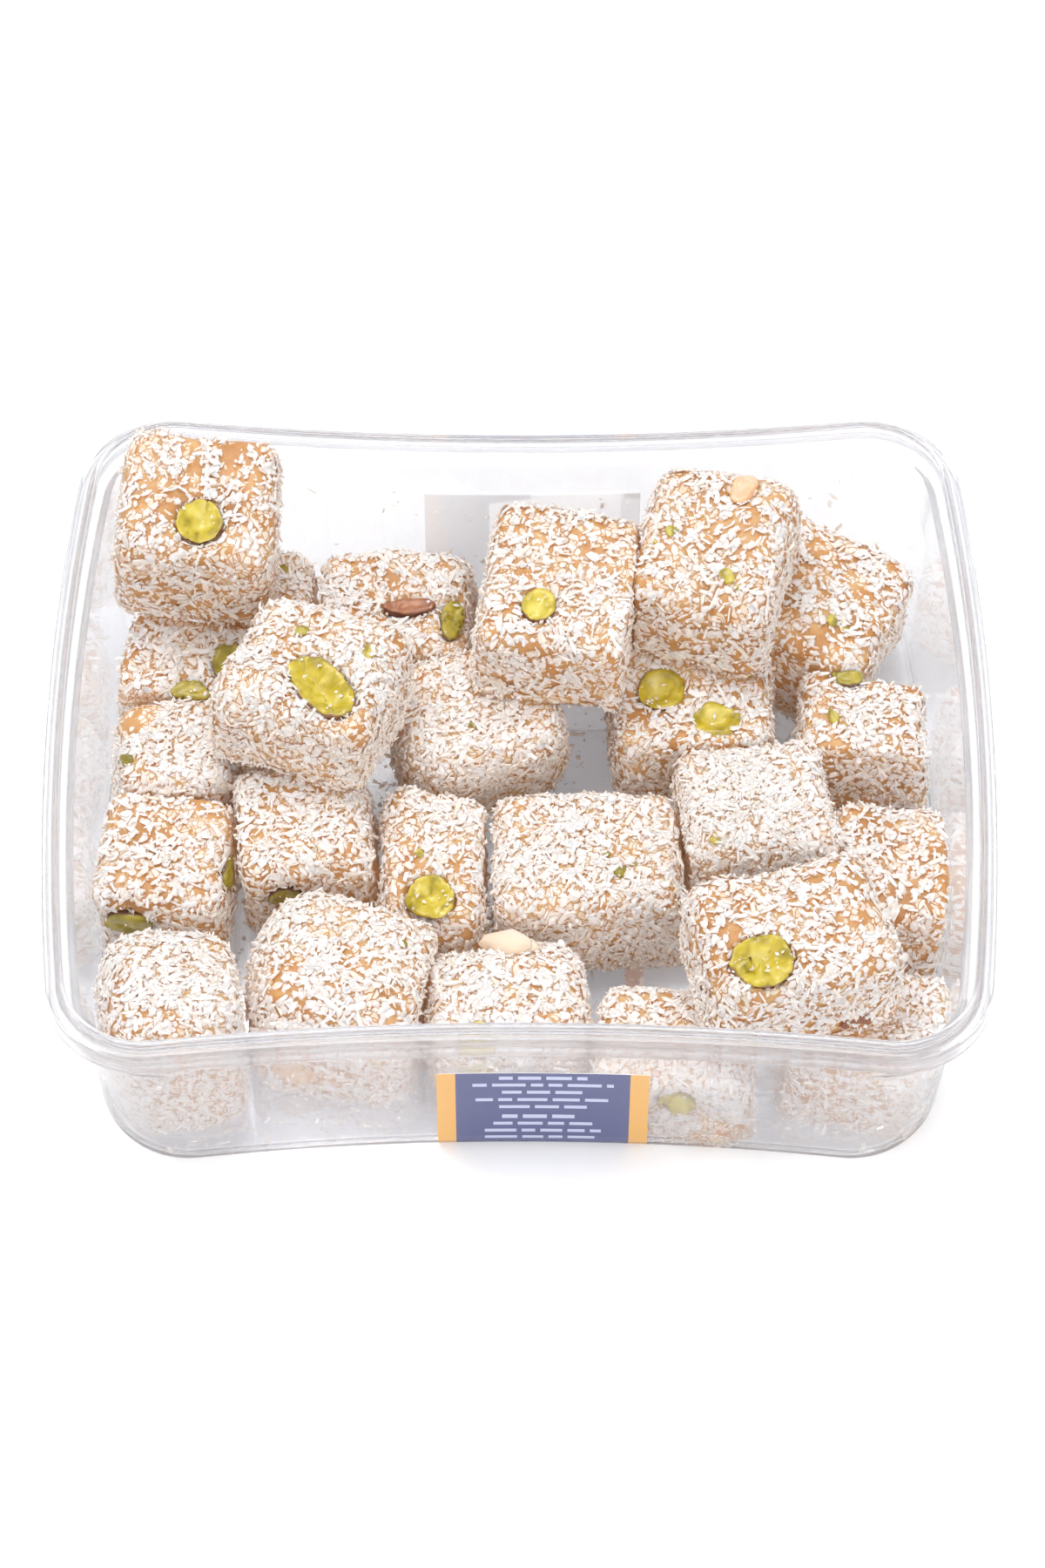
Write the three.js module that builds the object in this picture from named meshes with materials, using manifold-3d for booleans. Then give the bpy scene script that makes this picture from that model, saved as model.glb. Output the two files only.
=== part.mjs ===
// A tub of Turkish delight: a clear, open plastic tub with a wrap-round paper label, filled with
// soft jelly sweets that are rolled in coconut and hold pistachios and nuts. Millimetres, +Z up;
// the tub stands on z = 0 with its length along X, and its labelled front faces -Y.
import * as THREE from "three";
import { mergeVertices } from "three/addons/utils/BufferGeometryUtils.js";
import Module from "manifold-3d";

const wasm = await Module();
wasm.setup();

// Driving dimensions.
const LIP_LENGTH = 160; // over the upright lip, along X
const LIP_WIDTH = 139.2; // along Y, where the lip's long sides would meet its short ones
const HEIGHT = 45.5;
const LONG_SIDE_IN = 6; // how far a long side curves in at its middle
const SHORT_SIDE_OUT = 5; // how far a short side bulges out at its middle
const FLANGE_OUT = 2.4; // the lid band stands this far outside the lip
const PANEL = { length: 100, width: 60, corner: 8, rise: 1.1 };
const GAP = 0.3; // clearance between pieces that touch
const LABEL = { front: [-14, 22], back: [-17.5, 22], frontTop: 27, backTop: 32.4, skin: 0.25 };
const SHORT_STEPS = 3, CORNER_STEPS = 7, LONG_STEPS = 4; // facets of a quarter of the outline

// One quarter of the tub's outline, from +X to +Y: a short side that bulges, a corner arc tangent
// to both sides, and a long side that curves in. The other quarters mirror it.
function outline(length, width, sideIn, sideOut, corner) {
  const a = length / 2, b = width / 2;
  const short = (y) => {
    const n = new THREE.Vector2(1, (2 * sideOut * y) / (b * b)).normalize();
    return { p: new THREE.Vector2(a - sideOut * (y / b) ** 2, y), n };
  };
  const long = (x) => {
    const n = new THREE.Vector2((-2 * sideIn * x) / (a * a), 1).normalize();
    return { p: new THREE.Vector2(x, b - sideIn + sideIn * (x / a) ** 2), n };
  };
  let x = a - corner, y = b - corner;
  for (let i = 0; i < 40; i++) {
    const l = long(x), s = short(y);
    y = l.p.y - corner * l.n.y + corner * s.n.y;
    x = s.p.x - corner * s.n.x + corner * l.n.x;
  }
  const s = short(y), l = long(x), c = s.p.clone().addScaledVector(s.n, -corner);
  const from = s.n.angle(), to = l.n.angle(), quarter = [];
  for (let i = 0; i < SHORT_STEPS; i++) quarter.push(short((y * i) / SHORT_STEPS).p);
  for (let i = 0; i < CORNER_STEPS; i++) {
    const t = from + ((to - from) * i) / CORNER_STEPS;
    quarter.push(new THREE.Vector2(c.x + corner * Math.cos(t), c.y + corner * Math.sin(t)));
  }
  for (let i = 0; i <= LONG_STEPS; i++) quarter.push(long(x - (x * i) / LONG_STEPS).p);
  const half = [...quarter, ...quarter.slice(1, -1).reverse().map((p) => new THREE.Vector2(-p.x, p.y))];
  half.push(new THREE.Vector2(-quarter[0].x, 0));
  return [...half, ...half.slice(1, -1).reverse().map((p) => new THREE.Vector2(p.x, -p.y))];
}

// A ring of the tub at a height: `inset` mm inside the lip's outline, with its own corner radius.
const wall = (inset, z, corner) => ({
  z,
  points: outline(LIP_LENGTH - 2 * inset, LIP_WIDTH - 2 * inset, LONG_SIDE_IN, SHORT_SIDE_OUT, corner),
});
const panel = (grow, z) => ({
  z,
  points: outline(PANEL.length + 2 * grow, PANEL.width + 2 * grow, 0, 0, PANEL.corner + grow),
});

// Skins a stack of rings, closed by a fan onto the axis at each end.
function loft(rings) {
  const n = rings[0].points.length, position = [], index = [];
  for (const { z, points } of rings) for (const p of points) position.push(p.x, p.y, z);
  const first = rings.length * n, last = first + 1;
  position.push(0, 0, rings[0].z, 0, 0, rings.at(-1).z);
  for (let i = 0; i < n; i++) {
    const j = (i + 1) % n;
    index.push(first, j, i);
    for (let k = 0; k + 1 < rings.length; k++) {
      const low = k * n, high = low + n;
      index.push(low + i, low + j, high + j, low + i, high + j, high + i);
    }
    const top = (rings.length - 1) * n;
    index.push(last, top + i, top + j);
  }
  const g = new THREE.BufferGeometry();
  g.setAttribute("position", new THREE.Float32BufferAttribute(position, 3));
  g.setIndex(index);
  return g;
}

// Turns a geometry into a solid for cutting and joining, and a solid back into a geometry.
function solid(geometry) {
  const g = geometry.clone();
  g.deleteAttribute("normal");
  g.deleteAttribute("uv");
  const m = mergeVertices(g, 1e-4);
  return new wasm.Manifold(new wasm.Mesh({
    numProp: 3,
    vertProperties: new Float32Array(m.attributes.position.array),
    triVerts: new Uint32Array(m.index.array),
  }));
}
function geometryOf(made) {
  const mesh = made.getMesh(), g = new THREE.BufferGeometry();
  g.setAttribute("position", new THREE.BufferAttribute(new Float32Array(mesh.vertProperties), 3));
  g.setIndex(new THREE.BufferAttribute(new Uint32Array(mesh.triVerts), 1));
  g.computeVertexNormals();
  return g;
}

// The tub: foot, tapering wall with a stacking shoulder at each corner, hollow lid band, thin lip,
// then down the inside over a small ledge to the floor and its raised panel.
const outerWallRings = [[8, 0, 12], [5.6, 0.5, 14], [4.5, 2.2, 16], [4.1, 5, 17], [2.5, 30, 16.5]];
const rim = HEIGHT - 5.8; // lower edge of the lid band
const tubRings = [
  panel(0, PANEL.rise),
  panel(1, 0),
  ...outerWallRings.map((ring) => wall(...ring)),
  wall(2.4, 31.2, 12.6),
  wall(1.9, rim + 0.1, 12.9),
  wall(1.6, rim + 0.5, 13.2),
  wall(0.1, rim + 0.6, 14.6),
  wall(0, rim + 2.9, 14.7),
  wall(-1.4, rim + 2.9, 16),
  wall(0.8 - FLANGE_OUT, rim, 16.1),
  wall(0.1 - FLANGE_OUT, rim, 16.8),
  wall(-FLANGE_OUT, rim + 0.3, 16.9),
  wall(0.2 - FLANGE_OUT, rim + 3.7, 16.7),
  wall(0.7 - FLANGE_OUT, rim + 4.1, 16.2),
  wall(0, rim + 4.2, 14.5),
  wall(0, HEIGHT - 0.2, 14.5),
  wall(0.2, HEIGHT, 14.3),
  wall(0.7, HEIGHT, 13.8),
  wall(0.9, HEIGHT - 0.2, 13.6),
  wall(1, rim + 2, 13.5),
  wall(1.2, rim + 1.7, 13.3),
  wall(2.7, rim + 1.5, 12),
  wall(3, rim + 1.1, 11.7),
  wall(3.5, 32, 11.4),
  wall(3.6, 30.8, 15.4),
  wall(5.2, 5.4, 16),
  wall(5.7, 3.1, 15),
  wall(7, 1.6, 13.5),
  wall(9, 1.2, 11),
  panel(0.5, 1.2),
  panel(-0.5, 1.2 + PANEL.rise),
];

// The space inside the tub that its contents may fill, a gap clear of the floor and walls.
const cavity = solid(loft([
  panel(GAP - 0.5, 1.2 + PANEL.rise + GAP),
  panel(GAP + 0.6, 1.2 + GAP),
  wall(9.2, 1.2 + GAP, 10.8),
  wall(7.3, 1.6 + GAP, 13.2),
  wall(6.1, 3.3, 14.7),
  wall(5.6, 5.5, 15.6),
  wall(4, 30.8, 15),
  wall(3.9, 32, 11),
  wall(3.4, rim + 1.1, 11.3),
  wall(3.4, HEIGHT + 12, 11.3),
]));

// The label's strip, grown all round by `more`, and the skin of the tub between two depths.
function strip(more) {
  const [f0, f1] = LABEL.front, [b0, b1] = LABEL.back, far = LIP_WIDTH;
  const shape = new THREE.Shape([
    new THREE.Vector2(f0 - more, -far), new THREE.Vector2(f1 + more, -far),
    new THREE.Vector2(b1 + more, far), new THREE.Vector2(b0 - more, far),
  ]);
  const low = new THREE.ExtrudeGeometry(shape, { depth: LABEL.frontTop + more + 5, bevelEnabled: false });
  const back = new THREE.BoxGeometry(LIP_LENGTH, far, LABEL.backTop - LABEL.frontTop);
  back.translate(0, far / 2, (LABEL.backTop + LABEL.frontTop) / 2 + more);
  const high = new THREE.ExtrudeGeometry(shape, { depth: LABEL.backTop + more + 5, bevelEnabled: false });
  low.translate(0, 0, -5);
  high.translate(0, 0, -5);
  return solid(low).add(solid(high).intersect(solid(back)));
}
function skin(from, to) {
  const shell = (d) => solid(loft(
    [...outerWallRings, [2.15, 36, 16.4]].map(([inset, z, r]) => wall(inset + d, z || d, r - d)),
  ));
  return shell(from).subtract(shell(to));
}
const label = skin(0.05, 0.05 + LABEL.skin).intersect(strip(0));
const tub = solid(loft(tubRings)).subtract(
  skin(-0.5, 0.05 + LABEL.skin + GAP).intersect(strip(GAP)),
);

// The sweets: name, centre x, y, z, size x, y, z, turns about x, y, z in degrees, corner rounding.
const sweets = [
  ["a", -58.2, 51, 35.6, 28, 27, 25, 14, 3, -3, 3.8],
  ["b", -60, 32.5, 12, 23, 23, 21, 0, 0, -8, 3],
  ["c", -23, 44.5, 12, 28, 24, 21, 0, 0, -3, 3],
  ["d", 8, 34, 33.5, 30, 32, 21, 4, 0, -9, 3.2],
  ["e", 34, 42, 34.5, 27, 31, 21, 8, 0, -15, 4.2],
  ["f", 54.5, 45.5, 14, 26, 30, 22, 0, 10, -27, 3.2],
  ["g", 31, 23.5, 13, 28, 24, 21, 0, 0, 2, 3.2],
  ["h", 62, 20.5, 11.5, 23, 22, 20, 0, 0, -6, 3.2],
  ["i", 42, -1.5, 14, 27, 26, 23, 0, 0, 9, 3.4],
  ["j", 66, -12.5, 11.5, 24, 26, 20, 0, 0, -5, 3.4],
  ["k", 46, -41, 33.5, 33, 26, 21, 0, 0, 14, 4.6],
  ["l", 12.5, -11.5, 12.5, 34, 26, 20, 0, 0, 3, 3.6],
  ["m", -8, 20, 14.5, 29, 26, 25, 0, 0, 16, 7.5],
  ["n", -36.5, 15, 33, 29, 27, 20, 0, 0, -19, 4.4],
  ["o", -62, 13.5, 12, 20, 22, 21, 0, 0, 8, 4.2],
  ["p", -63, -10, 12, 24, 27, 21, 0, 0, -7, 4],
  ["q", -38.5, -4.5, 13, 25, 25, 22, 0, 0, 7, 4],
  ["r", -15, -12, 12.5, 18, 28, 21, 0, 0, -4, 3.8],
  ["s", -59.5, -47, 18.5, 24, 24, 33, -8, 0, 8, 6.5],
  ["t", -30.5, -37.5, 14.5, 32, 29, 27, 0, 0, -12, 8.5],
  ["u", -2, -41, 12, 28, 22, 21, 0, 0, 6, 5],
  ["v", 27, -50, 12, 27, 22, 21, 0, 0, -5, 4],
  ["w", 60, -47, 13, 28, 23, 23, 0, 0, -10, 4.2],
  ["x", 34, 45, 12, 25, 20, 21, 0, 0, 0, 3.2],
  ["y", -48, 47.5, 12, 20, 18, 21, 0, 0, 0, 3.2],
  ["z", -41, 20, 12.5, 20, 22, 20, 0, 0, 0, 3.2],
  ["aa", 9, 45, 12, 23, 22, 21, 0, 0, 0, 3.2],
];

// The nuts that show: name, the sweet that holds it, the face it breaks through, its place on that
// face along the face's two axes, its half-lengths along them, its depth, its turn in degrees, kind.
const nuts = [
  ["a", "a", "top", 1, -4.5, 4.4, 4.6, 4, 10, "pistachio"],
  ["b", "b", "top", 1.5, -8.5, 4, 3.6, 4.5, 20, "kernel"],
  ["b2", "b", "top", 8, 0.5, 3.6, 5, 4.5, -20, "kernel"],
  ["y", "y", "top", 4, 5.5, 4.2, 1.8, 3, -18, "kernel"],
  ["c", "c", "top", 3, -1.5, 5, 1.7, 3, 4, "hazelnut"],
  ["c2", "c", "top", 11.2, -4, 2.2, 5, 4, -8, "kernel"],
  ["d", "d", "top", -3.5, -7, 3, 3.6, 4, -15, "pistachio"],
  ["e", "e", "top", 3.5, 11.5, 2.4, 3.6, 3, -15, "hazelnut"],
  ["g", "g", "top", -5.5, 0.5, 4.6, 4.6, 4.5, 0, "pistachio"],
  ["g2", "g", "top", 3.8, -6.5, 5, 3.9, 4.5, 0, "pistachio"],
  ["g3", "g", "top", 10, 6.5, 2.6, 4.4, 4, 0, "pistachio"],
  ["h", "h", "top", -3.5, 7.2, 3.2, 2.6, 4, 0, "kernel"],
  ["k", "k", "top", -7, -6.5, 5.6, 5, 5, -8, "pistachio"],
  ["n", "n", "top", 3.5, -4.5, 8, 4.4, 5, -32, "pistachio"],
  ["p", "p", "front", -4, 3.5, 4.6, 3, 4, 12, "kernel"],
  ["p2", "p", "right", -2, 5.5, 3.4, 2.6, 3.5, 0, "kernel"],
  ["q", "q", "front", -4, 2.5, 3.2, 2.8, 3.5, 0, "kernel"],
  ["r", "r", "top", 0, -9.5, 4.3, 4.3, 4.5, 15, "pistachio"],
  ["t", "t", "front", -6, -3, 4, 3, 4, 0, "hazelnut"],
  ["u", "u", "top", -6.5, -8.5, 3.4, 2.6, 4, 0, "pistachio"],
  ["v", "v", "front", 1, 3.5, 3.8, 4.4, 4, 0, "pistachio"],
];

const SEGMENTS = 3; // facets along each edge of a sweet: its flat, and the rounding at both ends
const SWELL = 2; // the most that two facing skins can swell past their boxes, together
const rad = THREE.MathUtils.degToRad;

// A soft block: a rounded box that has sagged and leans a little, with a gently uneven skin.
function jelly([, , , , sx, sy, sz, , , , corner], order) {
  const h = new THREE.Vector3(sx / 2, sy / 2, sz / 2);
  const g = new THREE.BoxGeometry(2, 2, 2, SEGMENTS, SEGMENTS, SEGMENTS);
  const knot = (t, half) => {
    if (Math.abs(t) > 0.9 || Math.abs(t) < 0.1) return Math.round(t);
    return Math.sign(t) * (1 - (0.85 * corner) / half);
  };
  const wave = (p, k) =>
    Math.sin(0.21 * p.x + 1.7 * order + k) * Math.cos(0.19 * p.y - 2.3 * order) + 0.6 *
    Math.sin(0.33 * p.z + 0.9 * order + 2 * k);
  const pos = g.attributes.position, p = new THREE.Vector3();
  for (let i = 0; i < pos.count; i++) {
    p.fromBufferAttribute(pos, i);
    p.set(knot(p.x, h.x) * h.x, knot(p.y, h.y) * h.y, knot(p.z, h.z) * h.z);
    const core = p.clone().clamp(
      h.clone().negate().addScalar(corner), h.clone().addScalar(-corner),
    );
    const out = p.clone().sub(core).normalize();
    p.copy(core).addScaledVector(out, corner);
    const sag = 1 + 0.035 * (-p.z / h.z), lean = 0.05 * p.z;
    p.set(p.x * sag + lean * Math.sin(5 * order), p.y * sag + lean * Math.sin(3 * order + 1), p.z);
    p.addScaledVector(out, 0.35 * wave(p, 0));
    pos.setXYZ(i, p.x, p.y, p.z);
  }
  return g;
}

// Where a sweet or nut stands: its turns are applied about x first, then y, then z.
function placed([, x, y, z, , , , rx, ry, rz]) {
  return new THREE.Matrix4()
    .makeRotationFromEuler(new THREE.Euler(rad(rx), rad(ry), rad(rz), "ZYX"))
    .setPosition(x, y, z);
}

// The flat cut between two sweets that would meet: the axis on which they overlap least, and where.
function contact(a, b) {
  const frame = (s) => {
    const m = placed(s), axes = [0, 1, 2].map((i) => new THREE.Vector3().setFromMatrixColumn(m, i));
    return { c: new THREE.Vector3(s[1], s[2], s[3]), axes, h: [s[4] / 2, s[5] / 2, s[6] / 2] };
  };
  const A = frame(a), B = frame(b), line = B.c.clone().sub(A.c);
  const reach = (f, n) => f.axes.reduce((sum, axis, i) => sum + f.h[i] * Math.abs(axis.dot(n)), 0);
  let best = null;
  for (const axis of [...A.axes, ...B.axes]) {
    const n = axis.clone().multiplyScalar(Math.sign(axis.dot(line)) || 1), d = line.dot(n);
    const ra = reach(A, n), rb = reach(B, n), over = ra + rb - d;
    if (!best || over < best.over) best = { n, over, at: A.c.dot(n) + ra - over / 2 };
  }
  return best.over > -SWELL ? best : null;
}

// A block that fills the far side of a plane, for pressing a sweet flat against its neighbour.
function beyond(n, at, near) {
  const size = 80, g = new THREE.BoxGeometry(size, size, size);
  const q = new THREE.Quaternion().setFromUnitVectors(new THREE.Vector3(0, 0, 1), n);
  const foot = near.clone().addScaledVector(n, at - near.dot(n) + size / 2);
  g.applyMatrix4(new THREE.Matrix4().compose(foot, q, new THREE.Vector3(1, 1, 1)));
  return solid(g);
}

// A nut at a cut face: a low dome outside the face, a full half-ellipsoid inside, grown by `more`.
function nutSolid([, host, face, u, v, a, b, depth, turn], more) {
  const s = sweets.find(([name]) => name === host), h = [s[4] / 2, s[5] / 2, s[6] / 2];
  const [right, up, out] = {
    top: [[1, 0, 0], [0, 1, 0], [0, 0, 1]],
    front: [[1, 0, 0], [0, 0, 1], [0, -1, 0]],
    right: [[0, 1, 0], [0, 0, 1], [1, 0, 0]],
  }[face].map((w) => new THREE.Vector3(...w));
  const reach = Math.abs(out.x) * h[0] + Math.abs(out.y) * h[1] + Math.abs(out.z) * h[2];
  const g = new THREE.IcosahedronGeometry(1, 1), pos = g.attributes.position, p = new THREE.Vector3();
  for (let i = 0; i < pos.count; i++) {
    p.fromBufferAttribute(pos, i);
    const high = p.z > 0 ? 1.1 : depth;
    p.set(p.x * (a + more), p.y * (b + more), p.z * (high + more));
    pos.setXYZ(i, p.x, p.y, p.z);
  }
  g.applyMatrix4(new THREE.Matrix4().makeRotationZ(rad(turn)));
  g.applyMatrix4(new THREE.Matrix4().makeBasis(right, up, out));
  const at = new THREE.Vector3().addScaledVector(right, u).addScaledVector(up, v);
  g.translate(...at.addScaledVector(out, reach - 0.3));
  return g.applyMatrix4(placed(s));
}

const colours = {
  tub: ["#eef1f6", 0.08], label: ["#4a5080", 0.5], jelly: ["#efe0cf", 0.75],
  pistachio: ["#b9bf2c", 0.35], kernel: ["#76801f", 0.4], hazelnut: ["#d9a777", 0.45],
};
function mesh(name, geometry, [color, roughness]) {
  const made = new THREE.Mesh(geometry, new THREE.MeshStandardMaterial({ color, roughness, metalness: 0 }));
  made.name = name;
  return made;
}

const group = new THREE.Group();
group.name = "turkish_delight";
group.add(mesh("tub", geometryOf(tub), colours.tub), mesh("label", geometryOf(label), colours.label));

// Every sweet's flat contacts with its neighbours, as planes it must stay behind.
const planes = sweets.map(() => []);
sweets.forEach((a, i) => sweets.slice(i + 1).forEach((b, k) => {
  const cut = contact(a, b);
  if (!cut) return;
  planes[i].push([cut.n, cut.at - GAP / 2]);
  planes[i + 1 + k].push([cut.n.clone().negate(), -cut.at - GAP / 2]);
}));
function pressed(geometry, i) {
  const centre = new THREE.Vector3(...sweets[i].slice(1, 4));
  const kept = solid(geometry).intersect(cavity);
  return planes[i].reduce((body, [n, at]) => body.subtract(beyond(n, at, centre)), kept);
}

sweets.forEach((s, i) => {
  const shape = jelly(s, i).applyMatrix4(placed(s));
  const held = nuts.filter((nut) => nut[1] === s[0]);
  const body = held.reduce((b, nut) => b.subtract(solid(nutSolid(nut, GAP + 0.1))), pressed(shape, i));
  group.add(mesh("sweet_" + s[0], geometryOf(body), colours.jelly));
  for (const nut of held) {
    group.add(mesh("nut_" + nut[0], geometryOf(pressed(nutSolid(nut, 0), i)), colours[nut[9]]));
  }
});

export default group;
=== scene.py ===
"""A clear tub of coconut-rolled Turkish delight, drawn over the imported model. Metres, +Z up."""
import math
from collections import namedtuple

import bmesh
import bpy
import numpy as np
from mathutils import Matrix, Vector
from mathutils.bvhtree import BVHTree


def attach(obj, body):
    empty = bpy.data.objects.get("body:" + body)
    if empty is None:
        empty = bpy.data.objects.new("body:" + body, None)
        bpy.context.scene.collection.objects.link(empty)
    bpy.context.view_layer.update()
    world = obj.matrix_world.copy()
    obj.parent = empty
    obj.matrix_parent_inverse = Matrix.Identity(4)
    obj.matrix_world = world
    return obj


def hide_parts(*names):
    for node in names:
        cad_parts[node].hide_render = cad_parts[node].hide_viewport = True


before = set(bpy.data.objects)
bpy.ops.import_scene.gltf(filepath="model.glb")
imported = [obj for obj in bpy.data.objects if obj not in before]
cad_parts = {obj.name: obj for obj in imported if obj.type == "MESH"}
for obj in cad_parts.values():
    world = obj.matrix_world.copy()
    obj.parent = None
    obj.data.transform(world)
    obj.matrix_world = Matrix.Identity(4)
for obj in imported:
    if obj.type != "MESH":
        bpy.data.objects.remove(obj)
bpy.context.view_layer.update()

MM = 0.001
SEED = 11


# ---------------------------------------------------------------- small helpers

def rgb(code, alpha=1.0):
    """A hex colour as linear RGBA."""
    def lin(v):
        v /= 255
        return v / 12.92 if v <= 0.04045 else ((v + 0.055) / 1.055) ** 2.4
    return tuple(lin(int(code[i:i + 2], 16)) for i in (1, 3, 5)) + (alpha,)


def lattice(i, j, k, seed):
    """A fixed random number from -1 to 1 for each whole-number point."""
    h = (i * 374761393 + j * 668265263 + k * 2246822519 + seed * 3266489917) & 0xFFFFFFFF
    h = ((h ^ (h >> 13)) * 1274126177) & 0xFFFFFFFF
    return ((h ^ (h >> 16)) & 0xFFFF) / 32767.5 - 1.0


def noise3(p, size, seed=0):
    """Smooth noise from -1 to 1 at points p (metres), with lumps about `size` across."""
    q = p / size + 1000.0
    base = np.floor(q).astype(np.int64)
    f = q - base
    f = f * f * (3 - 2 * f)
    out = np.zeros(len(p))
    for dx in (0, 1):
        for dy in (0, 1):
            for dz in (0, 1):
                w = (np.abs(1 - dx - f[:, 0]) * np.abs(1 - dy - f[:, 1])
                     * np.abs(1 - dz - f[:, 2]))
                out += w * lattice(base[:, 0] + dx, base[:, 1] + dy, base[:, 2] + dz, seed)
    return out


def link(name, data):
    """A new object in the scene."""
    o = bpy.data.objects.new(name, data)
    bpy.context.scene.collection.objects.link(o)
    return o


def add_piece(name, me, slot, *nodes):
    """Puts a piece on the model's one body and hides the CAD nodes it stands for. Its slot is not
    used.
    """
    me.name = name
    o = link(name, me)
    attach(o, "root")
    if nodes:
        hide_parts(*nodes)
    return o


def mesh_from(name, co, tris, material, smooth):
    """A triangle mesh from arrays of points and corner indices."""
    me = bpy.data.meshes.new(name)
    me.vertices.add(len(co))
    me.vertices.foreach_set("co", np.ascontiguousarray(co, np.float32).ravel())
    me.loops.add(len(tris) * 3)
    me.loops.foreach_set("vertex_index", np.ascontiguousarray(tris, np.int32).ravel())
    me.polygons.add(len(tris))
    me.polygons.foreach_set("loop_start", np.arange(0, len(tris) * 3, 3, dtype=np.int32))
    me.polygons.foreach_set("use_smooth", np.full(len(tris), smooth))
    me.update(calc_edges=True)
    me.materials.append(material)
    return me


def shade(me, smooth):
    me.polygons.foreach_set("use_smooth", [smooth] * len(me.polygons))


def move_points(me, co):
    me.vertices.foreach_set("co", co.ravel())
    me.update()


def paint(me, name, rgba):
    """Stores one colour for each vertex."""
    a = me.color_attributes.new(name, "FLOAT_COLOR", "POINT")
    a.data.foreach_set("color", np.ascontiguousarray(rgba, np.float32).ravel())


def arrays(me):
    """A mesh's points, triangles, and normal of each point."""
    co = np.empty(len(me.vertices) * 3)
    me.vertices.foreach_get("co", co)
    me.calc_loop_triangles()
    tri = np.empty(len(me.loop_triangles) * 3, np.int32)
    me.loop_triangles.foreach_get("vertices", tri)
    nor = np.empty(len(me.vertices) * 3)
    me.vertex_normals.foreach_get("vector", nor)
    return co.reshape(-1, 3), tri.reshape(-1, 3), nor.reshape(-1, 3)


def refined(node, modifiers):
    """A CAD node's mesh, welded and run through modifiers, given as (type, settings)."""
    me = node.data.copy()
    bm = bmesh.new()
    bm.from_mesh(me)
    bmesh.ops.remove_doubles(bm, verts=bm.verts, dist=1e-6)
    bm.to_mesh(me)
    bm.free()
    o = link("work", me)
    for kind, settings in modifiers:
        m = o.modifiers.new(kind, kind)
        for key, value in settings.items():
            setattr(m, key, value)
    ev = o.evaluated_get(bpy.context.evaluated_depsgraph_get())
    made = bpy.data.meshes.new_from_object(ev)
    bpy.data.objects.remove(o)
    made.materials.clear()
    return made


# ---------------------------------------------------------------- materials

class Nodes:
    """Builds a node tree with short calls."""

    def __init__(self, name, world=False):
        self.owner = bpy.data.worlds.new(name) if world else bpy.data.materials.new(name)
        self.owner.use_nodes = True
        self.tree = self.owner.node_tree
        self.tree.nodes.clear()

    def add(self, kind, inputs=None, **settings):
        n = self.tree.nodes.new(kind)
        for k, v in settings.items():
            setattr(n, k, v)
        for k, v in (inputs or {}).items():
            if isinstance(v, bpy.types.NodeSocket):
                self.tree.links.new(v, n.inputs[k])
            else:
                n.inputs[k].default_value = v
        return n

    def noise(self, scale, detail=3.0, rough=0.55):
        co = self.add("ShaderNodeTexCoord").outputs["Object"]
        return self.add("ShaderNodeTexNoise", {"Vector": co, "Scale": scale, "Detail": detail,
                                               "Roughness": rough}).outputs["Fac"]

    def ramp(self, fac, *stops):
        n = self.add("ShaderNodeValToRGB", {"Fac": fac})
        e = n.color_ramp.elements
        e[0].position, e[0].color = stops[0]
        e[1].position, e[1].color = stops[-1]
        for at, colour in stops[1:-1]:
            e.new(at).color = colour
        return n.outputs["Color"]

    def value(self, fac, low, high):
        """Maps 0..1 onto low..high."""
        return self.add("ShaderNodeMapRange", {"Value": fac, "To Min": low, "To Max": high}
                        ).outputs["Result"]

    def mix(self, fac, a, b, blend="MIX"):
        n = self.add("ShaderNodeMix", data_type="RGBA", blend_type=blend)
        for key, v in ((0, fac), (6, a), (7, b)):
            if isinstance(v, bpy.types.NodeSocket):
                self.tree.links.new(v, n.inputs[key])
            else:
                n.inputs[key].default_value = v
        return n.outputs[2]

    def bump(self, height, strength, distance):
        return self.add("ShaderNodeBump", {"Height": height, "Strength": strength,
                                           "Distance": distance}).outputs["Normal"]

    def shader(self, **inputs):
        names = {k.replace("_", " "): v for k, v in inputs.items()}
        return self.add("ShaderNodeBsdfPrincipled", names)

    def out(self, shader, kind="ShaderNodeOutputMaterial"):
        self.add(kind, {"Surface": shader})
        return self.owner


def clear_plastic():
    """Moulded clear polystyrene: glassy, a touch cool, unevenly polished."""
    n = Nodes("clear_plastic")
    tint = (0.88, 0.884, 0.902, 1)
    rough = n.value(n.noise(60.0, 4.0), 0.015, 0.06)
    body = n.shader(Base_Color=tint, Roughness=rough, IOR=1.5, Transmission_Weight=1.0)
    lamp = n.add("ShaderNodeLightPath").outputs["Is Shadow Ray"]
    straight = n.add("ShaderNodeBsdfTransparent", {"Color": tint})
    wall = n.add("ShaderNodeMixShader", {0: 0.25, 1: body.outputs[0], 2: straight.outputs[0]})
    through = n.add("ShaderNodeBsdfTransparent", {"Color": (0.95, 0.95, 0.965, 1)})
    return n.out(n.add("ShaderNodeMixShader", {0: lamp, 1: wall.outputs[0],
                                               2: through.outputs[0]}).outputs[0])


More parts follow.
